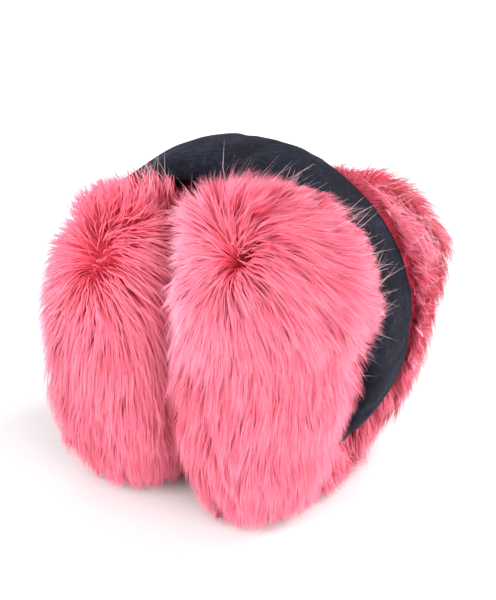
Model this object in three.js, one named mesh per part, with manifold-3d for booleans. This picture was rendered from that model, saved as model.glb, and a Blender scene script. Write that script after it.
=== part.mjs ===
// Fur earmuffs that stand on their two ear cups: deep-pile cups sprung together inside a padded headband.
//
// The headband is a velvet sleeve over a flat spring. Its ring stands upright in the XZ plane, with its axis
// along Y, and it runs over the top and down the outer face of each cup until it is sewn in near the bottom.
// The pile stands up in front of the headband and behind it, and is pressed flat under it.
//
// Millimetres. +Z up, +X towards the right cup, -Y the front. The origin is on the resting surface, under
// the middle.
import * as THREE from "three";
import { mergeVertices } from "three/addons/utils/BufferGeometryUtils.js";
import Module from "manifold-3d";

const wasm = await Module();
wasm.setup();

// Headband
const BAND_RADIUS = 73; // of the ring, to the sleeve's outer face
const BAND_THICKNESS = 12;
const BAND_WIDTH = 46;
const BAND_END = -70; // degrees from the horizontal where each end is sewn into its cup
const BAND_TAPER = 16; // degrees over which each end narrows
const BAND_END_WIDTH = 0.62; // share of the width and thickness that is left at the very end
const BAND_END_THICKNESS = 0.5;
const BAND_STEPS = 56; // sections along the ring
const BAND_SIDES = 20; // points round a section
const SLEEVE_SQUARENESS = 2.9; // 2 is an ellipse, and more is flatter with rounder corners

// Ear cups
const RING_HEIGHT = 79; // the ring's centre above the resting surface
const PILE_RADIUS = 86; // of the two cups together, round the ring's axis
const FRONT_DEPTH = 74; // from the ring's middle plane to the front of the pile
const REAR_DEPTH = 76;
const CUP_SQUARENESS = 3;
const CUP_MIDDLE = 40; // from the plane between the cups to the middle of one
const CUP_GAP = 0.4; // between each cup and the plane where they meet
const MEETING_LEAN = 0.14; // how far that plane leans to the right for each millimetre towards the back
const SHOULDER = 36; // how softly a cup rounds over beside its neighbour
const SHADED_SHOULDER = 66; // the same under the top of the headband, where the pile lies lower
const SHADED_REACH = 34; // how far that goes in front of the ring's middle plane and behind it
const SHADED_DROP = 60; // and how far down from the headband
const SINK = 4; // pile pressed flat where a cup stands
const CUP_DETAIL = 12; // divisions of each edge of the icosahedron that a cup starts from

// The channel that the headband presses into the pile
const CHANNEL_GAP = 0.5;
const CHANNEL_LIP = 3; // above the sleeve, where the pile starts to part
const CHANNEL_HEIGHT = 28; // above the sleeve, past the highest pile
const CHANNEL_FLARE = 8; // how much wider each side is up there
const CHANNEL_CLOSING = 22; // degrees over which the pile closes over each end of the headband
const CHANNEL_CLOSED = 0.03; // share of the height and flare that is left once it has

// Tufts: where the pile stands proud (rise above 0) or is pressed in. around is the angle in degrees up from
// the cup's outer side, along is the distance behind the ring's middle plane.
const RIGHT_TUFTS = [
  { around: 85, along: -30, spread: 30, rise: -2 },
  { around: 28, along: -40, spread: 20, rise: 5 },
  { around: 8, along: -38, spread: 25, rise: -19 },
  { around: -14, along: -36, spread: 26, rise: -17 },
  { around: -37, along: -32, spread: 26, rise: -19 },
  { around: -75, along: -50, spread: 30, rise: 7 },
  { around: -60, along: -8, spread: 24, rise: 8 },
  { around: -62, along: 45, spread: 30, rise: 6 },
  { around: 28, along: 56, spread: 28, rise: 10 },
  { around: -12, along: 45, spread: 30, rise: -7 },
  { around: 72, along: 45, spread: 40, rise: -17 },
];
const LEFT_TUFTS = [
  { around: 76, along: -36, spread: 34, rise: -9 },
  { around: 24, along: -28, spread: 36, rise: -10 },
  { around: -10, along: -26, spread: 30, rise: -7 },
  { around: -42, along: -52, spread: 26, rise: 7 },
  { around: -58, along: -30, spread: 34, rise: 7 },
  { around: 70, along: 45, spread: 46, rise: -27 },
  { around: 0, along: 48, spread: 34, rise: 2 },
];

const radians = THREE.MathUtils.degToRad;

// A point of the ring's frame: angle round the ring's axis, radius from it, and distance behind its middle.
function ringPoint(angle, radius, along) {
  return new THREE.Vector3(radius * Math.cos(angle), along, RING_HEIGHT + radius * Math.sin(angle));
}

// A closed body through closed sections of equal length, with a flat cap on each end.
function loft(sections) {
  const sides = sections[0].length;
  const points = sections.flat();
  const index = [];
  for (let s = 0; s + 1 < sections.length; s++) {
    for (let i = 0; i < sides; i++) {
      const a = s * sides + i;
      const b = s * sides + ((i + 1) % sides);
      index.push(a, a + sides, b, b, a + sides, b + sides);
    }
  }
  const last = (sections.length - 1) * sides;
  for (let i = 1; i + 1 < sides; i++) {
    index.push(0, i, i + 1);
    index.push(last, last + i + 1, last + i);
  }
  return new THREE.BufferGeometry().setFromPoints(points).setIndex(index);
}

function solidOf(geometry) {
  const bare = geometry.clone();
  bare.deleteAttribute("normal");
  bare.deleteAttribute("uv");
  const merged = mergeVertices(bare);
  const vertProperties = merged.attributes.position.array;
  const triVerts = new Uint32Array(merged.index.array);
  return new wasm.Manifold(new wasm.Mesh({ numProp: 3, vertProperties, triVerts }));
}

function geometryOf(solid) {
  const mesh = solid.getMesh();
  const geometry = new THREE.BufferGeometry();
  geometry.setAttribute("position", new THREE.BufferAttribute(mesh.vertProperties, 3));
  geometry.setIndex(new THREE.BufferAttribute(mesh.triVerts, 1));
  geometry.computeVertexNormals();
  return geometry;
}

// Half the sleeve's width and half its thickness at an angle round the ring: it narrows at its sewn ends.
function sleeveHalves(angle) {
  const fromEnd = Math.min(angle - radians(BAND_END), radians(180 - BAND_END) - angle);
  const fullness = THREE.MathUtils.smoothstep(fromEnd / radians(BAND_TAPER), 0, 1);
  return {
    width: (BAND_WIDTH / 2) * THREE.MathUtils.lerp(BAND_END_WIDTH, 1, fullness),
    thickness: (BAND_THICKNESS / 2) * THREE.MathUtils.lerp(BAND_END_THICKNESS, 1, fullness),
  };
}

// The velvet sleeve: a soft flat tube along the ring.
function headbandGeometry() {
  const start = radians(BAND_END);
  const end = radians(180 - BAND_END);
  const sections = [];
  for (let s = 0; s <= BAND_STEPS; s++) {
    const angle = THREE.MathUtils.lerp(start, end, s / BAND_STEPS);
    const half = sleeveHalves(angle);
    const section = [];
    for (let i = 0; i < BAND_SIDES; i++) {
      const turn = (2 * Math.PI * i) / BAND_SIDES;
      const c = Math.cos(turn);
      const n = Math.sin(turn);
      const across = Math.sign(c) * Math.abs(c) ** (2 / SLEEVE_SQUARENESS);
      const out = Math.sign(n) * Math.abs(n) ** (2 / SLEEVE_SQUARENESS);
      const radius = BAND_RADIUS - BAND_THICKNESS / 2 + half.thickness * out;
      section.push(ringPoint(angle, radius, half.width * across));
    }
    sections.push(section);
  }
  return loft(sections);
}

// Everything that the headband and the parted pile over it take from the cups.
function channelSolid() {
  const overrun = CHANNEL_GAP / (BAND_RADIUS - BAND_THICKNESS);
  const start = radians(BAND_END) - overrun;
  const end = radians(180 - BAND_END) + overrun;
  const sections = [];
  for (let s = 0; s <= BAND_STEPS; s++) {
    const angle = THREE.MathUtils.lerp(start, end, s / BAND_STEPS);
    const fromEnd = Math.min(angle - start, end - angle) / radians(CHANNEL_CLOSING);
    const open = THREE.MathUtils.lerp(CHANNEL_CLOSED, 1, THREE.MathUtils.smoothstep(fromEnd, 0.5, 1));
    const half = sleeveHalves(angle);
    const side = half.width + CHANNEL_GAP;
    const wide = side + CHANNEL_FLARE * open;
    const floor = BAND_RADIUS - BAND_THICKNESS / 2 - half.thickness - CHANNEL_GAP;
    const sleeve = BAND_RADIUS - BAND_THICKNESS / 2 + half.thickness + CHANNEL_GAP;
    const lip = sleeve + CHANNEL_LIP * open;
    const top = sleeve + CHANNEL_HEIGHT * open;
    sections.push([
      ringPoint(angle, floor, -side),
      ringPoint(angle, floor, side),
      ringPoint(angle, lip, side),
      ringPoint(angle, top, wide),
      ringPoint(angle, top, -wide),
      ringPoint(angle, lip, -side),
    ]);
  }
  return solidOf(loft(sections));
}

// How far the tufts lift the pile at an angle round the ring's axis and a distance behind its middle.
function tuftRise(tufts, angle, along) {
  let rise = 0;
  for (const tuft of tufts) {
    const round = (angle - radians(tuft.around)) * PILE_RADIUS;
    const square = (round ** 2 + (along - tuft.along) ** 2) / tuft.spread ** 2;
    rise += tuft.rise * Math.exp(-square);
  }
  return rise;
}

// The larger of two distances, with the corner between them rounded over.
function softMax(a, b, round) {
  return Math.max(a, b) + Math.max(round - Math.abs(a - b), 0) ** 2 / (4 * round);
}

// Below 0 inside the right-hand cup's pile and above 0 outside it, before the channel is pressed in.
function outsideCup(point, tufts, lean) {
  const height = point.z - RING_HEIGHT;
  const angle = Math.atan2(height, point.x);
  const radius = PILE_RADIUS + tuftRise(tufts, angle, point.y);
  const depth = point.y < 0 ? FRONT_DEPTH : REAR_DEPTH;
  const round = (Math.hypot(point.x, height) / radius) ** CUP_SQUARENESS;
  const along = (Math.abs(point.y) / depth) ** CUP_SQUARENESS;
  const pile = ((round + along) ** (1 / CUP_SQUARENESS) - 1) * radius;
  const underBand = THREE.MathUtils.smoothstep(height, BAND_RADIUS - SHADED_DROP, BAND_RADIUS);
  const shade = underBand * Math.exp(-((point.y / SHADED_REACH) ** 2));
  const shoulder = THREE.MathUtils.lerp(SHOULDER, SHADED_SHOULDER, shade);
  return softMax(pile, CUP_GAP + lean * point.y - point.x, shoulder);
}

// The right-hand cup: a ball pushed out along each of its rays to where the pile ends.
function cupSolid(tufts, lean) {
  const ball = new THREE.IcosahedronGeometry(1, CUP_DETAIL);
  const middle = new THREE.Vector3(CUP_MIDDLE, 0, RING_HEIGHT);
  const positions = ball.attributes.position;
  const ray = new THREE.Vector3();
  const point = new THREE.Vector3();
  for (let i = 0; i < positions.count; i++) {
    ray.fromBufferAttribute(positions, i).normalize();
    let inside = 0;
    let outside = 2 * PILE_RADIUS;
    while (outside - inside > 1e-4) {
      const tried = (inside + outside) / 2;
      point.copy(middle).addScaledVector(ray, tried);
      if (outsideCup(point, tufts, lean) < 0) inside = tried;
      else outside = tried;
    }
    positions.setXYZ(i, point.x, point.y, point.z);
  }
  const room = 4 * PILE_RADIUS;
  const floor = new THREE.BoxGeometry(room, room, room);
  floor.translate(0, 0, SINK - room / 2);
  return solidOf(ball).subtract(solidOf(floor)).subtract(channelSolid());
}

// The left-hand cup is built as a right-hand one and turned over, faces and all.
function mirrored(solid) {
  const geometry = geometryOf(solid).toNonIndexed();
  geometry.scale(-1, 1, 1);
  const positions = geometry.attributes.position;
  const a = new THREE.Vector3();
  const b = new THREE.Vector3();
  for (let i = 0; i < positions.count; i += 3) {
    a.fromBufferAttribute(positions, i);
    b.fromBufferAttribute(positions, i + 1);
    positions.setXYZ(i, b.x, b.y, b.z);
    positions.setXYZ(i + 1, a.x, a.y, a.z);
  }
  geometry.computeVertexNormals();
  return geometry;
}

const velvet = new THREE.MeshStandardMaterial({ name: "velvet", color: 0x14181f, roughness: 0.95 });
const pile = new THREE.MeshStandardMaterial({ name: "pile", color: 0xf4647c, roughness: 0.9 });

const earmuffs = new THREE.Group();

function addPiece(name, geometry, material) {
  const mesh = new THREE.Mesh(geometry, material);
  mesh.name = name;
  earmuffs.add(mesh);
}

addPiece("headband", headbandGeometry(), velvet);
addPiece("right_ear_cup", geometryOf(cupSolid(RIGHT_TUFTS, MEETING_LEAN)), pile);
addPiece("left_ear_cup", mirrored(cupSolid(LEFT_TUFTS, -MEETING_LEAN)), pile);

// The origin goes to the middle of the footprint, on the resting surface.
const box = new THREE.Box3().setFromObject(earmuffs);
const middle = box.getCenter(new THREE.Vector3());
earmuffs.position.set(-middle.x, -middle.y, -box.min.z);

export default earmuffs;
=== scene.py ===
import math

import bmesh
import bpy
import numpy as np
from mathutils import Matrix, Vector, noise
from mathutils.bvhtree import BVHTree


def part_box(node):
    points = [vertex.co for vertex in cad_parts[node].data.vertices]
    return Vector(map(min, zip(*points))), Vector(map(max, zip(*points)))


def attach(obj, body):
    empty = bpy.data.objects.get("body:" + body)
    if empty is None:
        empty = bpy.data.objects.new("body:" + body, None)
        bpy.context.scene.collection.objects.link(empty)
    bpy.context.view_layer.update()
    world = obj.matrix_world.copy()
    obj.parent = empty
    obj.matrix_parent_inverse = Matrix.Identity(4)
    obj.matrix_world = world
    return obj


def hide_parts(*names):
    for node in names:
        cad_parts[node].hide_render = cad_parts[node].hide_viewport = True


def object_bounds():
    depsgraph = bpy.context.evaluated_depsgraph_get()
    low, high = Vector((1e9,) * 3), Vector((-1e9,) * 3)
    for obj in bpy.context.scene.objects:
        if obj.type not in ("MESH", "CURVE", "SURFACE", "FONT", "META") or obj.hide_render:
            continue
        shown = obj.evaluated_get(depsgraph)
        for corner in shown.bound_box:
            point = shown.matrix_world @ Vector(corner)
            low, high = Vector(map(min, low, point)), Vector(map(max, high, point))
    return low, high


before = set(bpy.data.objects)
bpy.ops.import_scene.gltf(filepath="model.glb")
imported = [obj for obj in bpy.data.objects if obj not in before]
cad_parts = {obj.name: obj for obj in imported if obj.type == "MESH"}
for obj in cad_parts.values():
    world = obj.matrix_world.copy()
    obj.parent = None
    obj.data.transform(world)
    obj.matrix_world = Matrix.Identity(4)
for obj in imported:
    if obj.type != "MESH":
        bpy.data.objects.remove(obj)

cad_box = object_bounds()

# Place. The earmuffs stand on their two cups with the headband's ring upright, in a plane of X and Z.
# The ring's middle and radius come from the headband's box, and every other place is worked out from them.
band_low, band_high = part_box("headband")
ring_radius = (band_high.x - band_low.x) / 2
ring = Vector(((band_low.x + band_high.x) / 2, (band_low.y + band_high.y) / 2, band_high.z - ring_radius))

# Camera. It looks down at the fronts of the cups from a little to the right.
view_around = math.radians(25)
view_above = math.radians(26)
view_distance = 0.65
looked_at = ring + Vector((0.0035, 0, 0.003))

toward_camera = Vector((
    math.sin(view_around) * math.cos(view_above),
    -math.cos(view_around) * math.cos(view_above),
    math.sin(view_above),
))
camera_data = bpy.data.cameras.new("camera")
camera_data.lens = 91
camera_data.sensor_width = 36
camera_data.clip_start = 0.01
camera_data.clip_end = 20
camera = bpy.data.objects.new("camera", camera_data)
camera.location = looked_at + toward_camera * view_distance
camera.rotation_mode = "QUATERNION"
camera.rotation_quaternion = toward_camera.to_track_quat("Z", "Y")
bpy.context.scene.collection.objects.link(camera)
bpy.context.scene.camera = camera

# Studio. A pale table, a broad lamp high on the left, a second low on the right, a third behind, and faintly
# pink light from all round.
floor_size = 6
floor_mesh = bpy.data.meshes.new("floor")
half = floor_size / 2
corners = [(-half, -half, 0), (half, -half, 0), (half, half, 0), (-half, half, 0)]
floor_mesh.from_pydata(corners, [], [(0, 1, 2, 3)])
floor = bpy.data.objects.new("floor", floor_mesh)
bpy.context.scene.collection.objects.link(floor)
floor_white = bpy.data.materials.new("floor_white")
floor_white.use_nodes = True
floor_white.node_tree.nodes["Principled BSDF"].inputs["Base Color"].default_value = (0.74, 0.74, 0.74, 1)
floor_white.node_tree.nodes["Principled BSDF"].inputs["Roughness"].default_value = 0.7
floor_white.node_tree.nodes["Principled BSDF"].inputs["Specular IOR Level"].default_value = 0.2
floor_mesh.materials.append(floor_white)


def lamp(name, place, size, power, colour):
    """A square area lamp that faces the earmuffs."""
    data = bpy.data.lights.new(name, "AREA")
    data.size = size
    data.energy = power
    data.color = colour
    made = bpy.data.objects.new(name, data)
    made.location = place
    made.rotation_mode = "QUATERNION"
    made.rotation_quaternion = (made.location - ring).to_track_quat("Z", "Y")
    bpy.context.scene.collection.objects.link(made)


lamp("key_lamp", (-0.6, -0.9, 0.6), 0.7, 16, (0.98, 1, 0.99))
lamp("fill_lamp", (0.95, -0.55, 0.4), 0.9, 14, (1, 1, 1))
lamp("back_lamp", (0.65, 0.75, 0.85), 0.7, 18, (0.97, 1, 0.985))
world = bpy.data.worlds.new("studio")
world.use_nodes = True
world.node_tree.nodes["Background"].inputs["Color"].default_value = (1, 0.925, 0.965, 1)
world.node_tree.nodes["Background"].inputs["Strength"].default_value = 0.85
bpy.context.scene.world = world
bpy.context.scene.view_settings.view_transform = "Standard"

# Headband. A soft tube of blue-black velvet pulled over a flat spring, a little fuller than the spring, so
# that it puffs between its edges and gathers in shallow folds across the ring. Its ends go under the pile.
band_width = 0.0445
band_thickness = 0.0102
band_middle_radius = ring_radius - 0.006
band_end = math.radians(-70)
band_taper = math.radians(16)
band_end_share = 0.6
band_steps = 300
band_sides = 48
sleeve_squareness = 2.6
# Folds across the band: the angle round the ring in degrees, the slant, the width in degrees and the depth.
band_folds = [
    (92, 0.25, 2.2, 0.0011),
    (84, -0.35, 2.6, 0.0014),
    (66, 0.5, 2.0, 0.0009),
    (20, -0.3, 2.4, 0.0008),
    (-6, 0.4, 2.6, 0.0012),
    (-22, 0.2, 2.2, 0.0011),
    (-41, -0.3, 2.0, 0.001),
    (128, 0.3, 2.4, 0.0009),
    (166, -0.3, 2.2, 0.001),
    (190, 0.35, 2.4, 0.0012),
    (214, -0.2, 2.2, 0.0011),
]


def sleeve_point(angle, turn):
    """A point of the sleeve: angle is round the ring, and turn is round the sleeve's own section."""
    from_end = min(angle - band_end, math.pi - band_end - angle) / band_taper
    eased = min(max(from_end, 0), 1) ** 2 * (3 - 2 * min(max(from_end, 0), 1))
    fullness = band_end_share + (1 - band_end_share) * eased
    c, s = math.cos(turn), math.sin(turn)
    across = math.copysign(abs(c) ** (2 / sleeve_squareness), c)
    out = math.copysign(abs(s) ** (2 / sleeve_squareness), s)
    crown = 0.0013 * (1 - across**2) * math.copysign(1, out)
    radius = band_middle_radius + band_thickness / 2 * out * fullness + crown * fullness
    along = band_width / 2 * across * fullness
    return Vector((radius * math.cos(angle), along, radius * math.sin(angle)))


def sleeve_sink(angle, turn, place):
    """How far the velvet lies in at a point: the folds across the band, and soft unevenness all over."""
    degrees = math.degrees(angle)
    across = math.cos(turn)
    sink = 0
    for fold_at, slant, width, depth in band_folds:
        off = (degrees - fold_at - slant * 10 * across) / width
        sink += depth * math.exp(-(off**2)) * (0.55 + 0.45 * math.sin(3.1 * across + fold_at))
    sink += 0.0009 * noise.noise(place * 42)
    sink += 0.0004 * noise.noise(place * 110 + Vector((3, 1, 7)))
    return sink


def headband_mesh():
    made = bmesh.new()
    rows = []
    for step in range(band_steps + 1):
        angle = band_end + (math.pi - 2 * band_end) * step / band_steps
        row = []
        for side in range(band_sides):
            turn = 2 * math.pi * side / band_sides
            place = sleeve_point(angle, turn)
            core = band_middle_radius * Vector((math.cos(angle), 0, math.sin(angle)))
            inward = place - core
            inward = Vector((inward.x, inward.y * 0.25, inward.z)).normalized()
            place -= inward * sleeve_sink(angle, turn, place)
            row.append(made.verts.new(place + ring))
        rows.append(row)
    map_of = made.loops.layers.uv.new("sleeve")
    for step in range(band_steps):
        for side in range(band_sides):
            after = (side + 1) % band_sides
            here, ahead = rows[step], rows[step + 1]
            face = made.faces.new((here[side], ahead[side], ahead[after], here[after]))
            around = [side, side, side + 1, side + 1]
            along = [step, step + 1, step + 1, step]
            for loop, a, b in zip(face.loops, around, along):
                loop[map_of].uv = (a / band_sides * 0.12, b / band_steps * 0.41)
    made.faces.new(rows[0])
    made.faces.new(reversed(rows[-1]))
    bmesh.ops.recalc_face_normals(made, faces=made.faces)
    mesh = bpy.data.meshes.new("velvet_headband")
    made.to_mesh(mesh)
    made.free()
    mesh.shade_smooth()
    return mesh


class Wiring:
    """Lays out one node tree. Each call adds a node and gives back its output, or the node itself."""

    def __init__(self, tree):
        self.tree = tree

    def node(self, kind, inputs=None, **settings):
        node = self.tree.nodes.new(kind)
        for name, value in settings.items():
            setattr(node, name, value)
        for name, value in (inputs or {}).items():
            if isinstance(value, bpy.types.NodeSocket):
                self.tree.links.new(value, node.inputs[name])
            else:
                node.inputs[name].default_value = value
        return node

    def math(self, operation, *values):
        return self.node("ShaderNodeMath", dict(enumerate(values)), operation=operation).outputs[0]

    def vector(self, operation, *values):
        if operation == "SCALE":
            values = {0: values[0], 3: values[1]}
        else:
            values = dict(enumerate(values))
        node = self.node("ShaderNodeVectorMath", values, operation=operation)
        return node.outputs["Value" if operation in ("DOT_PRODUCT", "LENGTH") else "Vector"]

    def ramp(self, factor, stops):
        """A colour ramp with the given (place, colour) stops."""
        node = self.node("ShaderNodeValToRGB", {0: factor})
        while len(node.color_ramp.elements) < len(stops):
            node.color_ramp.elements.new(0.5)
        for element, (place, colour) in zip(node.color_ramp.elements, stops):
            element.position = place
            element.color = (*colour, 1)
        return node.outputs[0]

    def mix(self, factor, a, b):
        node = self.node("ShaderNodeMix", {0: factor, 6: a, 7: b}, data_type="RGBA")
        return node.outputs[2]


def new_material(name):
    """A material with a bare Principled BSDF, and the wiring to lay out the rest of it."""
    material = bpy.data.materials.new(name)
    material.use_nodes = True
    return material, Wiring(material.node_tree), material.node_tree.nodes["Principled BSDF"]


def velvet_material():
    material, w, shader = new_material("blue_black_velvet")
    place = w.node("ShaderNodeTexCoord").outputs["Object"]
    brushed = w.node("ShaderNodeTexNoise", {"Vector": place, "Scale": 45, "Detail": 3, "Roughness": 0.6})
    crushed = w.node("ShaderNodeTexNoise", {"Vector": place, "Scale": 420, "Detail": 3, "Roughness": 0.65})
    tufts = w.node("ShaderNodeTexNoise", {"Vector": place, "Scale": 2200, "Detail": 2, "Roughness": 0.7})
    nap = w.math("MULTIPLY", brushed.outputs[0], 0.5)
    nap = w.math("ADD", nap, w.math("MULTIPLY", crushed.outputs[0], 0.5))
    lint = w.math("MULTIPLY", w.math("GREATER_THAN", tufts.outputs[0], 0.64), 0.5)
    colour = w.ramp(
        nap,
        [(0.38, (0.002, 0.0024, 0.005)), (0.54, (0.005, 0.006, 0.012)), (0.7, (0.016, 0.019, 0.032))],
    )
    colour = w.mix(lint, colour, (0.05, 0.055, 0.08, 1))
    w.tree.links.new(colour, shader.inputs["Base Color"])
    height = w.math("ADD", w.math("MULTIPLY", tufts.outputs[0], 0.5), crushed.outputs[0])
    bump = w.node("ShaderNodeBump", {"Height": height, "Strength": 0.8, "Distance": 0.0008})
    w.tree.links.new(bump.outputs[0], shader.inputs["Normal"])
    shader.inputs["Roughness"].default_value = 0.8
    shader.inputs["Specular IOR Level"].default_value = 0.08
    w.tree.links.new(w.math("POWER", nap, 3.0), shader.inputs["Sheen Weight"])
    shader.inputs["Sheen Roughness"].default_value = 0.3
    shader.inputs["Sheen Tint"].default_value = (0.2, 0.23, 0.34, 1)
    return material


def shown(name, mesh, material):
    """Puts a finished mesh in the scene as a piece that wears one material."""
    mesh.materials.clear()
    mesh.materials.append(material)
    piece = bpy.data.objects.new(name, mesh)
    bpy.context.scene.collection.objects.link(piece)
    return piece


headband = shown("velvet_headband", headband_mesh(), velvet_material())
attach(headband, "root")
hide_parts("headband")

# Ear cups. Each is a round padded cup covered with the woven backing of the fur. The backing lies a pile's
# depth inside the cup's outer form, close under the headband and close to the table.
pile_depth = 0.0145
pressed_depth = 0.0015
beside_depth = 0.007  # close beside the headband
foot_depth = 0.005
well_outside = 0.3
seen_ring = (-50, 230)  # degrees of the ring along which the headband lies bare
seen_foot = -math.sin(math.radians(seen_ring[0])) * ring_radius  # how far below the ring's middle that ends
cup_nodes = {"right": "right_ear_cup", "left": "left_ear_cup"}


def backing_mesh(side):
    """A ball drawn out along its rays to the cup's outermost form, less the depth of the pile there."""
    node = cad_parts[cup_nodes[side]]
    form = BVHTree.FromPolygons(
        [v.co.copy() for v in node.data.vertices], [list(p.vertices) for p in node.data.polygons]
    )
    low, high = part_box(cup_nodes[side])
    middle = Vector(((low.x + high.x) / 2, ring.y, ring.z))
    ball = bmesh.new()
    bmesh.ops.create_icosphere(ball, subdivisions=5, radius=1)
    mesh = bpy.data.meshes.new(side + "_cup_backing")
    ball.to_mesh(mesh)
    ball.free()
    rays = np.array([v.co.normalized() for v in mesh.vertices])
    reach = np.zeros(len(rays))
    depth = np.full(len(rays), pile_depth)
    for i, ray in enumerate(rays):
        hit = form.ray_cast(middle + Vector(ray) * well_outside, Vector(-ray))[0]
        reach[i] = (hit - middle).length
        from_ring = math.hypot(hit.x - ring.x, hit.z - ring.z)
        if hit.z < 0.001:
            depth[i] = foot_depth
        elif abs(hit.y - ring.y) < band_width / 2 and from_ring < ring_radius - 0.01:
            depth[i] = pressed_depth
        else:
            clear = min(max((abs(hit.y - ring.y) - 0.026) / 0.014, 0), 1)
            depth[i] = beside_depth + (pile_depth - beside_depth) * clear
    edges = np.array([e.vertices[:] for e in mesh.edges])
    ends = np.concatenate([edges, edges[:, ::-1]])
    neighbours = np.bincount(ends[:, 0])
    inner = reach - depth
    for _ in range(5):
        inner = 0.5 * inner + 0.5 * np.bincount(ends[:, 0], inner[ends[:, 1]]) / neighbours
    places = np.array(middle) + rays * inner[:, None]
    from_ring = np.hypot(places[:, 0] - ring.x, places[:, 2] - ring.z)
    under_band = np.abs(places[:, 1] - ring.y) < band_width / 2 - 0.002
    too_far = under_band & (from_ring > ring_radius - 0.013) & (places[:, 2] > ring.z - seen_foot)
    share = np.where(too_far, (ring_radius - 0.013) / from_ring, 1)
    places[:, 0] = ring.x + (places[:, 0] - ring.x) * share
    places[:, 2] = ring.z + (places[:, 2] - ring.z) * share
    places[:, 2] = np.maximum(places[:, 2], 0.002)
    mesh.vertices.foreach_set("co", places.astype(np.float32).ravel())
    mesh.shade_smooth()
    mesh.update()
    return mesh


def backing_material():
    material, w, shader = new_material("fur_backing")
    place = w.node("ShaderNodeTexCoord").outputs["Object"]
    blotch = w.node("ShaderNodeTexNoise", {"Vector": place, "Scale": 700, "Detail": 3, "Roughness": 0.6})
    colour = w.ramp(blotch.outputs[0], [(0.35, (0.42, 0.02, 0.045)), (0.7, (0.62, 0.06, 0.1))])
    w.tree.links.new(colour, shader.inputs["Base Color"])
    bump = w.node("ShaderNodeBump", {"Height": blotch.outputs[0], "Strength": 0.5, "Distance": 0.0005})
    w.tree.links.new(bump.outputs[0], shader.inputs["Normal"])
    shader.inputs["Roughness"].default_value = 0.9
    shader.inputs["Specular IOR Level"].default_value = 0.1
    return material


fur_backing = backing_material()
cups = {}
for side, node in cup_nodes.items():
    cup = shown(side + "_ear_cup_pad", backing_mesh(side), fur_backing)
    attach(cup, "root")
    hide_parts(node)
    cups[side] = cup

# Pile. Long fine coral acrylic hair, tufted through the backing and brushed flat, so that it lies along the
# cup in soft locks. It runs out from a crown high on each cup and hangs straight lower down. It stands up
# along both edges of the headband and closes under its ends.
hair_rises = 0.0135
hair_lies = 0.018
hair_droops = 0.007
wisp_width = 0.00044
lock_spacing = 0.0055
wisps_per_piece = 16500
# Hairs of a wisp: how far aside each tip lies, in half widths, and its share of the wisp's length.
wisp_tips = [(-1.4, 0.9), (-0.4, 1.0), (0.5, 0.94), (1.5, 0.84)]
guard_tips = [(0.0, 1.0)]
# The crown of each cup, which the hair is brushed out from, in shares of the cup's width and height.
brush_crowns = {"right": (0.3, 0.84), "left": (0.47, 0.82)}
crown_reach = 0.012
hang_depth = 0.05  # how far below its crown the hair hangs straight down
# The middle of each cup's painted highlight, a patch of palest tips where the lamp light from the left falls,
# in the same shares, and how far it spreads across and up.
painted_highlight_middles = {"right": (0.1, 0.78), "left": (0.2, 0.7)}
painted_highlight_spreads = (0.014, 0.026)
# How far from the ring's plane the headband starts to turn the hair, and has turned it.
beside_reach = (0.046, 0.03)
# The height at which the hair starts to spread over the table, and at which it has spread.
foot_reach = (0.022, 0.004)
waves = [(0.3, 45), (0.4, 110)]  # how far the hair wavers from the brushed way, and how closely


def unit(vectors):
    return vectors / np.maximum(np.linalg.norm(vectors, axis=1, keepdims=True), 1e-9)


def smooth_between(values, low, high):
    t = np.clip((values - low) / (high - low), 0, 1)
    return t * t * (3 - 2 * t)


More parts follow.
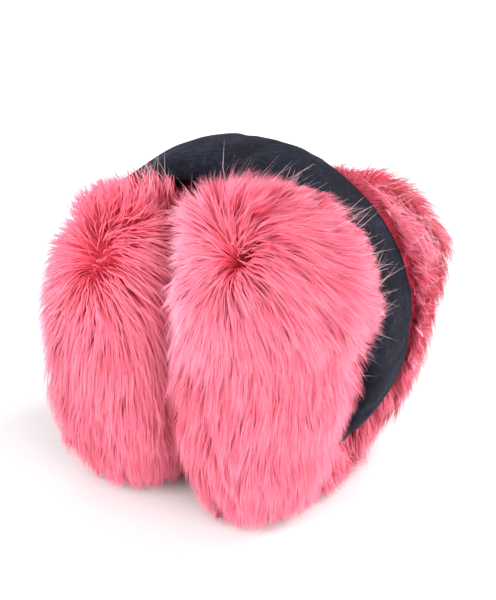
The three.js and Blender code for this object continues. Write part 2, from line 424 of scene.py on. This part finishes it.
def groom(side):
    """What each point of a cup's backing says about its hair, by name."""
    mesh = cups[side].data
    count = len(mesh.vertices)
    places = np.zeros(count * 3, np.float32)
    mesh.vertices.foreach_get("co", places)
    places = places.reshape(-1, 3).astype(float)
    out = np.array([v.normal[:] for v in mesh.vertices])
    off = places - np.array(ring)
    from_ring = np.hypot(off[:, 0], off[:, 2])
    radial = np.stack([off[:, 0], np.zeros(count), off[:, 2]], 1) / from_ring[:, None]
    degrees = (np.degrees(np.arctan2(off[:, 2], off[:, 0])) + 90) % 360 - 90
    beside = np.abs(off[:, 1])

    outer = places + out * hair_rises
    box_low, box_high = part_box(cup_nodes[side])
    box_width = box_high.x - box_low.x
    crown_across, crown_height = brush_crowns[side]
    crown = np.array([box_low.x + crown_across * box_width, 0, crown_height * box_high.z])
    away = (outer - crown) * np.array([1, 0, 1])
    agreed = np.clip(np.linalg.norm(away, axis=1) / crown_reach, 0, 1)
    hangs = smooth_between(crown[2] - outer[:, 2], 0, hang_depth)[:, None]
    comb = unit(away) * (1 - hangs) + np.array([0, 0, -1]) * hangs
    comb = unit(comb)
    for amount, closeness in waves:
        comb += amount * np.array([noise.noise_vector(Vector(p) * closeness)[:] for p in places])
    comb += 1.1 * (smooth_between(agreed, 0.9, 0.2))[:, None] * np.cross(out, unit(comb))
    whorl = smooth_between(agreed, 0.6, 0.2)
    # A patch of paler tips high on each cup is painted highlight, where the light from the left falls on the
    # pile.
    highlight_across, highlight_height = painted_highlight_middles[side]
    from_highlight_x = (outer[:, 0] - box_low.x - highlight_across * box_width) / painted_highlight_spreads[0]
    from_highlight_z = (outer[:, 2] - highlight_height * box_high.z) / painted_highlight_spreads[1]
    pale = np.exp(-(from_highlight_x**2) - from_highlight_z**2)
    along_band = smooth_between(beside, *beside_reach)
    to_band = radial + np.stack([np.zeros(count), -0.3 * np.sign(off[:, 1]), np.zeros(count)], 1)
    comb = unit(comb) * (1 - along_band)[:, None] + unit(to_band) * along_band[:, None]
    foot = smooth_between(places[:, 2], *foot_reach)
    middle = places.mean(axis=0)
    outward = unit((places - middle) * np.array([1, 1, 0]))
    comb += 0.9 * outward * foot[:, None]

    bare = (beside < band_width / 2 - 0.001) & (degrees > seen_ring[0]) & (degrees < seen_ring[1])
    bare &= from_ring < ring_radius - 0.006
    cover = np.where(bare, 0.0, 1 + whorl)
    inner = (-1 if side == "right" else 1) * out[:, 0]
    hidden = (inner > 0.8) & (np.hypot(off[:, 1], off[:, 2]) < 0.045)
    cover = np.where(hidden, cover * 0.15, cover)
    high = smooth_between(places[:, 2], 0.1, 0.13) * smooth_between(out[:, 2], 0, 0.7)
    high *= np.where(off[:, 1] < 0, 0.6, 0.35)
    flank = smooth_between(-out[:, 0], 0.5, 1)
    below_end = smooth_between(off[:, 2], 0.004 - seen_foot, -0.006 - seen_foot) * along_band
    rise = (1 - 0.7 * foot) * (1 - 0.42 * along_band) * (1 + high)
    return {
        "comb": unit(comb - out * np.sum(comb * out, 1)[:, None]),
        "cover": cover,
        "rise": rise * (1 - 0.15 * flank) * (1 + 0.5 * below_end),
        "lie": (1 - 0.55 * along_band) * (1 + 0.9 * foot) * (1 + 0.8 * below_end) * (1 - 0.3 * whorl),
        "wrap": 1 - 0.3 * along_band,
        "stray": 0.12 + 0.9 * smooth_between(agreed, 0.75, 0.2),
        # Paler hair: the painted highlight patch, and a little paler along the headband.
        "pale": np.minimum(0.8 * pale + 0.1 * along_band, 1),
        "behind": off[:, 1],
        "above": off[:, 2],
        "by_band": along_band * smooth_between(from_ring, ring_radius - 0.028, ring_radius - 0.012),
    }


def hair_tree():
    """Sets tapered blades over a mesh: each springs from the backing, bends over along the comb and runs
    towards the tip of its lock."""
    tree = bpy.data.node_groups.new("brushed_pile", "GeometryNodeTree")
    for name, kind in [
        ("Geometry", "NodeSocketGeometry"),
        ("Hairs per Area", "NodeSocketFloat"),
        ("Rise", "NodeSocketFloat"),
        ("Lie", "NodeSocketFloat"),
        ("Droop", "NodeSocketFloat"),
        ("Wrap", "NodeSocketFloat"),
        ("Width", "NodeSocketFloat"),
        ("Wisp", "NodeSocketObject"),
        ("Lock Spacing", "NodeSocketFloat"),
        ("Lock Pull", "NodeSocketFloat"),
        ("Stray", "NodeSocketFloat"),
        ("Floor", "NodeSocketFloat"),
        ("Ceiling", "NodeSocketFloat"),
        ("Ring Middle", "NodeSocketVector"),
        ("Ring Radius", "NodeSocketFloat"),
        ("Band Width", "NodeSocketFloat"),
        ("Band Foot", "NodeSocketFloat"),
        ("Seed", "NodeSocketInt"),
        ("Material", "NodeSocketMaterial"),
    ]:
        tree.interface.new_socket(name, in_out="INPUT", socket_type=kind)
    tree.interface.new_socket("Geometry", in_out="OUTPUT", socket_type="NodeSocketGeometry")
    w = Wiring(tree)
    given = w.node("NodeGroupInput").outputs
    result = w.node("NodeGroupOutput")

    def named(name, kind):
        return w.node("GeometryNodeInputNamedAttribute", {"Name": name}, data_type=kind).outputs["Attribute"]

    def stored(geometry, name, kind, value, domain="POINT"):
        node = w.node(
            "GeometryNodeStoreNamedAttribute",
            {"Geometry": geometry, "Name": name, "Value": value},
            data_type=kind,
            domain=domain,
        )
        return node.outputs[0]

    def chance(low, high, seed, owner=None):
        """A random number for each hair, or for each lock where owner is the lock's number."""
        inputs = {2: low, 3: high, "Seed": w.math("ADD", given["Seed"], seed)}
        if owner is not None:
            inputs["ID"] = owner
        return w.node("FunctionNodeRandomValue", inputs, data_type="FLOAT").outputs[1]

    def scatter(density, seed):
        return w.node(
            "GeometryNodeDistributePointsOnFaces",
            {"Mesh": given["Geometry"], "Density": density, "Seed": seed},
            distribute_method="RANDOM",
        )

    # Roots, and the lock that each belongs to
    here = w.node("GeometryNodeInputPosition").outputs[0]
    hairs = scatter(w.math("MULTIPLY", given["Hairs per Area"], named("cover", "FLOAT")), given["Seed"])
    locks = scatter(w.math("POWER", given["Lock Spacing"], -2.0), w.math("ADD", given["Seed"], 1))
    lock = w.node("GeometryNodeSampleNearest", {"Geometry": locks.outputs["Points"], "Sample Position": here})
    lock = lock.outputs[0]
    lock_at = w.node(
        "GeometryNodeSampleIndex",
        {"Geometry": locks.outputs["Points"], "Value": here, "Index": lock},
        data_type="FLOAT_VECTOR",
    ).outputs[0]
    up = hairs.outputs["Normal"]

    def wander(amount, seed, owner=None):
        """A vector with each part between plus and minus amount."""
        parts = {i: chance(-1.0, 1.0, seed + i, owner) for i in range(3)}
        joined = w.node("ShaderNodeCombineXYZ", parts).outputs[0]
        return w.vector("SCALE", joined, amount)

    # Which way each hair lies: the comb, a little its lock's own way, and a little its own
    lock_wanders = w.math("ADD", w.math("MULTIPLY", named("stray", "FLOAT"), 0.7), 0.08)
    way = w.vector("ADD", named("comb", "FLOAT_VECTOR"), wander(lock_wanders, 10, lock))
    way = w.vector("ADD", way, wander(w.math("MULTIPLY", given["Stray"], named("stray", "FLOAT")), 20))
    way = w.vector("SUBTRACT", way, w.vector("SCALE", up, w.vector("DOT_PRODUCT", way, up)))
    way = w.vector("NORMALIZE", way)
    across = w.vector("NORMALIZE", w.vector("CROSS_PRODUCT", up, way))
    roll = chance(-0.45, 0.45, 30)
    flat = w.vector("ADD", across, w.vector("SCALE", up, roll))
    flat = w.vector("NORMALIZE", flat)

    lie = w.math("MULTIPLY", given["Lie"], named("lie", "FLOAT"))
    lie = w.math("MULTIPLY", lie, w.math("MULTIPLY", chance(0.7, 1.2, 31, lock), chance(0.7, 1.2, 32)))
    rise = w.math("MULTIPLY", given["Rise"], named("rise", "FLOAT"))
    rise = w.math("MULTIPLY", rise, w.math("MULTIPLY", chance(0.75, 1.18, 33, lock), chance(0.72, 1.12, 34)))
    to_lock = w.vector("SCALE", w.vector("SUBTRACT", lock_at, here), given["Lock Pull"])
    bend = w.vector("ADD", w.vector("SCALE", up, w.math("MULTIPLY", rise, 0.8)),
                    w.vector("SCALE", way, w.math("MULTIPLY", lie, 0.22)))
    tip = w.vector("ADD", w.vector("SCALE", up, rise), w.vector("SCALE", way, lie))
    tip = w.vector("ADD", tip, to_lock)
    tip = w.vector("ADD", tip, wander(0.0012, 40))
    tone = w.math("ADD", w.math("MULTIPLY", chance(0.0, 1.0, 50, lock), 0.25),
                  w.math("MULTIPLY", chance(0.0, 1.0, 51), 0.3))
    # In the painted highlight patch each hair's tone is pushed towards the palest end, which paints the
    # highlight into the hair's colour.
    toward_painted_highlight = {0: named("pale", "FLOAT"), 2: tone, 3: 0.97}
    tone = w.node("ShaderNodeMix", toward_painted_highlight, data_type="FLOAT").outputs[0]

    points = hairs.outputs["Points"]
    for name, kind, value in [
        ("root", "FLOAT_VECTOR", here),
        ("bend", "FLOAT_VECTOR", bend),
        ("tip", "FLOAT_VECTOR", tip),
        ("flat", "FLOAT_VECTOR", flat),
        ("tone", "FLOAT", tone),
        ("height", "FLOAT", rise),
        ("wrapped", "FLOAT", chance(0.75, 1.0, 60)),
    ]:
        points = stored(points, name, kind, value)

    wisp = w.node("GeometryNodeObjectInfo", {"Object": given["Wisp"]}).outputs["Geometry"]
    grown = w.node("GeometryNodeInstanceOnPoints", {"Points": points, "Instance": wisp}).outputs[0]
    grown = w.node("GeometryNodeRealizeInstances", {"Geometry": grown}).outputs[0]

    # Each blade is drawn out along its curve
    s = named("along", "FLOAT")
    early = w.math("MULTIPLY", w.math("MULTIPLY", s, 2.0), w.math("SUBTRACT", 1.0, s))
    bent = w.vector("SCALE", named("bend", "FLOAT_VECTOR"), early)
    place = w.vector("ADD", named("root", "FLOAT_VECTOR"), bent)
    place = w.vector("ADD", place, w.vector("SCALE", named("tip", "FLOAT_VECTOR"), w.math("MULTIPLY", s, s)))
    hanging = w.node("ShaderNodeCombineXYZ", {2: w.math("MULTIPLY", given["Droop"], -1.0)}).outputs[0]
    place = w.vector("ADD", place, w.vector("SCALE", hanging, w.math("POWER", s, 2.0)))

    # and follows the cup round as it runs along it
    def under(value):
        """A value of the backing, where it is nearest to this point of the blade."""
        return w.node(
            "GeometryNodeSampleNearestSurface",
            {"Mesh": given["Geometry"], "Value": value, "Sample Position": place},
            data_type="FLOAT_VECTOR",
        ).outputs["Value"]

    height = w.math("ADD", w.math("MULTIPLY", early, 0.8), w.math("MULTIPLY", s, s))
    height = w.math("MULTIPLY", named("height", "FLOAT"), height)
    normal = w.node("GeometryNodeInputNormal").outputs[0]
    wrapped = w.vector("ADD", under(here), w.vector("SCALE", w.vector("NORMALIZE", under(normal)), height))
    share = w.math("MULTIPLY", named("wrap", "FLOAT"), named("wrapped", "FLOAT"))
    share = w.math("MULTIPLY", share, given["Wrap"])
    place = w.node("ShaderNodeMix", {0: share, 4: place, 5: wrapped}, data_type="VECTOR").outputs[1]
    aside = w.math("MULTIPLY", named("side", "FLOAT"), w.math("MULTIPLY", given["Width"], 0.5))
    place = w.vector("ADD", place, w.vector("SCALE", named("flat", "FLOAT_VECTOR"), aside))

    # Hair that would pass through the headband is held back at its side
    off = w.vector("SUBTRACT", place, given["Ring Middle"])
    part = w.node("ShaderNodeSeparateXYZ", {0: off}).outputs
    in_plane = w.node("ShaderNodeCombineXYZ", {0: part[0], 2: part[2]}).outputs[0]
    reach = w.vector("LENGTH", in_plane)
    root_off = w.vector("SUBTRACT", named("root", "FLOAT_VECTOR"), given["Ring Middle"])
    root_side = w.math("SIGN", w.node("ShaderNodeSeparateXYZ", {0: root_off}).outputs[1])
    beside = w.math("MULTIPLY", part[1], root_side)
    wall = w.math("ADD", w.math("MULTIPLY", given["Band Width"], 0.5), 0.0004)
    wall = w.math("ADD", wall, w.math("MULTIPLY", named("tone", "FLOAT"), 0.003))
    within = w.math("MULTIPLY", w.math("LESS_THAN", reach, w.math("ADD", given["Ring Radius"], 0.0005)),
                    w.math("GREATER_THAN", reach, w.math("SUBTRACT", given["Ring Radius"], 0.0135)))
    seen_from = w.math("MULTIPLY", given["Band Foot"], -1.0)
    within = w.math("MULTIPLY", within, w.math("GREATER_THAN", part[2], seen_from))
    short = w.math("MULTIPLY", w.math("MAXIMUM", w.math("SUBTRACT", wall, beside), 0.0), within)
    aside = w.node("ShaderNodeCombineXYZ", {1: w.math("MULTIPLY", short, root_side)}).outputs[0]
    place = w.vector("ADD", place, aside)

    # and none goes below the table or far above the rest
    part = w.node("ShaderNodeSeparateXYZ", {0: place}).outputs
    lowest = w.math("ADD", given["Floor"], w.math("MULTIPLY", named("tone", "FLOAT"), 0.0012))
    held = w.math("MAXIMUM", part[2], lowest)
    held = w.math("MINIMUM", held, given["Ceiling"])
    place = w.node("ShaderNodeCombineXYZ", {0: part[0], 1: part[1], 2: held}).outputs[0]
    grown = w.node("GeometryNodeSetPosition", {"Geometry": grown, "Position": place}).outputs[0]

    # The map: across it by the hair's tone and up it from root to tip
    tone_at = w.math("ADD", w.math("MULTIPLY", named("tone", "FLOAT"), 0.9), 0.05)
    tone_at = w.math("ADD", tone_at, w.math("MULTIPLY", named("side", "FLOAT"), 0.01))
    chart = w.node("ShaderNodeCombineXYZ", {0: tone_at, 1: s}).outputs[0]
    grown = stored(grown, "OFBake", "FLOAT2", chart, "CORNER")
    for name in (
        "root", "bend", "tip", "flat", "tone", "height", "wrapped", "along", "side",
        "comb", "cover", "rise", "lie", "wrap", "stray", "pale", "behind", "above", "by_band",
    ):
        grown = w.node("GeometryNodeRemoveAttribute", {"Geometry": grown, "Name": name}).outputs[0]
    grown = w.node("GeometryNodeSetShadeSmooth", {"Geometry": grown}).outputs[0]
    grown = w.node("GeometryNodeSetMaterial", {"Geometry": grown, "Material": given["Material"]}).outputs[0]
    tree.links.new(grown, result.inputs[0])
    return tree


def hair_material(name, rich, pale):
    """Acrylic hair whose colour runs along each hair, and from rich to paler from one hair to the next: at
    random, and in the painted highlight patch.
    """
    material, w, shader = new_material(name)
    chart = w.node("ShaderNodeUVMap", uv_map="OFBake").outputs[0]
    tone, along, _ = w.node("ShaderNodeSeparateXYZ", {0: chart}).outputs
    strand = w.math("FLOOR", w.math("MULTIPLY", tone, 220.0))
    own = w.node("ShaderNodeTexWhiteNoise", {"W": strand}, noise_dimensions="1D").outputs[0]
    share = w.math("ADD", w.math("MULTIPLY", w.math("POWER", tone, 2.0), 0.8), w.math("MULTIPLY", own, 0.26))
    colour = w.mix(share, w.ramp(along, rich), w.ramp(along, pale))
    w.tree.links.new(colour, shader.inputs["Base Color"])
    shader.inputs["Roughness"].default_value = 0.5
    shader.inputs["Specular IOR Level"].default_value = 0.25
    shader.inputs["Sheen Weight"].default_value = 0.06
    shader.inputs["Sheen Tint"].default_value = (1, 0.7, 0.76, 1)
    return material


brushed_pile = hair_tree()
coral_pile = hair_material(
    "coral_pile",
    [
        (0.0, (0.62, 0.035, 0.065)),
        (0.3, (0.71, 0.052, 0.092)),
        (0.7, (0.74, 0.085, 0.145)),
        (1.0, (0.78, 0.155, 0.245)),
    ],
    # The palest colours, which the random paler hairs and the painted highlight patch both take.
    [
        (0.0, (0.65, 0.05, 0.09)),
        (0.3, (0.8, 0.2, 0.29)),
        (0.7, (0.88, 0.42, 0.57)),
        (1.0, (0.94, 0.72, 0.85)),
    ],
)
pale_guard_hair = hair_material(
    "pale_guard_hair",
    [(0.0, (0.6, 0.05, 0.09)), (0.4, (0.75, 0.25, 0.32)), (1.0, (0.85, 0.6, 0.64))],
    [(0.0, (0.7, 0.1, 0.15)), (0.4, (0.85, 0.5, 0.55)), (1.0, (0.9, 0.85, 0.85))],
)


def wisp_object(name, tips):
    """A flat wisp a unit long: one strip near its root, and then a hair for each of the tips."""
    made = bmesh.new()
    along = made.verts.layers.float.new("along")
    side = made.verts.layers.float.new("side")

    def vertex(a, b):
        v = made.verts.new((a, b, 0))
        v[along], v[side] = b, a
        return v

    rows = [[vertex(-0.8, 0.0), vertex(0.8, 0.0)], [vertex(-1.0, 0.33), vertex(1.0, 0.33)]]
    rows.append([vertex(-1 + 2 * i / len(tips), 0.63) for i in range(len(tips) + 1)])
    for lower, upper in zip(rows, rows[1:]):
        made.faces.new(lower + upper[::-1])
    for i, (a, b) in enumerate(tips):
        made.faces.new((rows[2][i], rows[2][i + 1], vertex(a, b)))
    bmesh.ops.triangulate(made, faces=made.faces)
    mesh = bpy.data.meshes.new(name)
    made.to_mesh(mesh)
    made.free()
    wisp = bpy.data.objects.new(name, mesh)
    bpy.context.scene.collection.objects.link(wisp)
    return wisp


def grown_hair(name, side, cover, count, values, material):
    """Grows one piece of a cup's hair from its backing, about count wisps, as a plain mesh piece."""
    skin = bpy.data.objects.new(name + "_roots", cups[side].data.copy())
    bpy.context.scene.collection.objects.link(skin)
    groomed = {**grooming[side], "cover": cover}
    for key, numbers in groomed.items():
        kind, field = ("FLOAT_VECTOR", "vector") if numbers.ndim > 1 else ("FLOAT", "value")
        attribute = skin.data.attributes.new(key, kind, "POINT")
        attribute.data.foreach_set(field, numbers.astype(np.float32).ravel())
    covered = sum(p.area * cover[list(p.vertices)].mean() for p in skin.data.polygons)
    modifier = skin.modifiers.new("pile", "NODES")
    modifier.node_group = brushed_pile
    sockets = {s.name: s.identifier for s in brushed_pile.interface.items_tree if s.in_out == "INPUT"}
    values = {**values, "Hairs per Area": count * thin_out / covered, "Material": material}
    for key, value in values.items():
        modifier[sockets[key]] = value
    bpy.context.view_layer.update()
    evaluated = skin.evaluated_get(bpy.context.evaluated_depsgraph_get())
    mesh = bpy.data.meshes.new_from_object(evaluated)
    skin.modifiers.remove(modifier)
    bpy.data.objects.remove(skin)
    mesh.name = name
    piece = shown(name, mesh, material)
    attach(piece, "root")
    return piece


grooming = {side: groom(side) for side in cups}
thin_out = 1
coral_wisp = wisp_object("coral_wisp", wisp_tips)
guard_wisp = wisp_object("guard_wisp", guard_tips)
shared = {
    "Floor": 0.0004,
    "Ceiling": cad_box[1][2] + 0.012,
    "Ring Middle": ring[:],
    "Ring Radius": ring_radius,
    "Band Width": band_width,
    "Band Foot": seen_foot,
}
brushed = {
    **shared,
    "Rise": hair_rises,
    "Lie": hair_lies,
    "Droop": hair_droops,
    "Wrap": 1.0,
    "Width": wisp_width,
    "Wisp": coral_wisp,
    "Lock Spacing": lock_spacing,
    "Lock Pull": 0.22,
    "Stray": 1.0,
}
# The parts that the pile is grown in: the cup, the sign of the side of the headband, and the levels between.
pile_parts = {
    "right_ear_cup_pile_front_top": ("right", -1, 0.025, 1),
    "right_ear_cup_pile_front_foot": ("right", -1, -1, 0.025),
    "right_ear_cup_pile_back": ("right", 1, -1, 1),
    "left_ear_cup_pile_front": ("left", -1, -1, 1),
    "left_ear_cup_pile_back": ("left", 1, -1, 1),
}
for number, (name, (side, sign, low, high)) in enumerate(pile_parts.items()):
    groomed = grooming[side]
    here = (groomed["behind"] * sign > 0) & (groomed["above"] > low) & (groomed["above"] <= high)
    values = {**brushed, "Seed": 100 * number}
    grown_hair(name, side, groomed["cover"] * here, wisps_per_piece, values, coral_pile)

# Guard hairs: sparse, longer and paler than the rest, which stand clear of the pile along the headband
guard = {
    **shared,
    "Rise": 0.017,
    "Lie": 0.032,
    "Droop": 0.0,
    "Wrap": 0.0,
    "Width": 0.00012,
    "Wisp": guard_wisp,
    "Lock Spacing": 0.012,
    "Lock Pull": 0.1,
    "Stray": 3.0,
}
for number, side in enumerate(cups):
    groomed = grooming[side]
    by_band = groomed["cover"] * groomed["by_band"] * smooth_between(groomed["above"], -0.03, 0.02)
    grown_hair(side + "_ear_cup_guard_hair", side, by_band + groomed["cover"] * 0.01, 480,
               {**guard, "Seed": 1000 + 100 * number}, pale_guard_hair)
for wisp in (coral_wisp, guard_wisp):
    bpy.data.objects.remove(wisp)
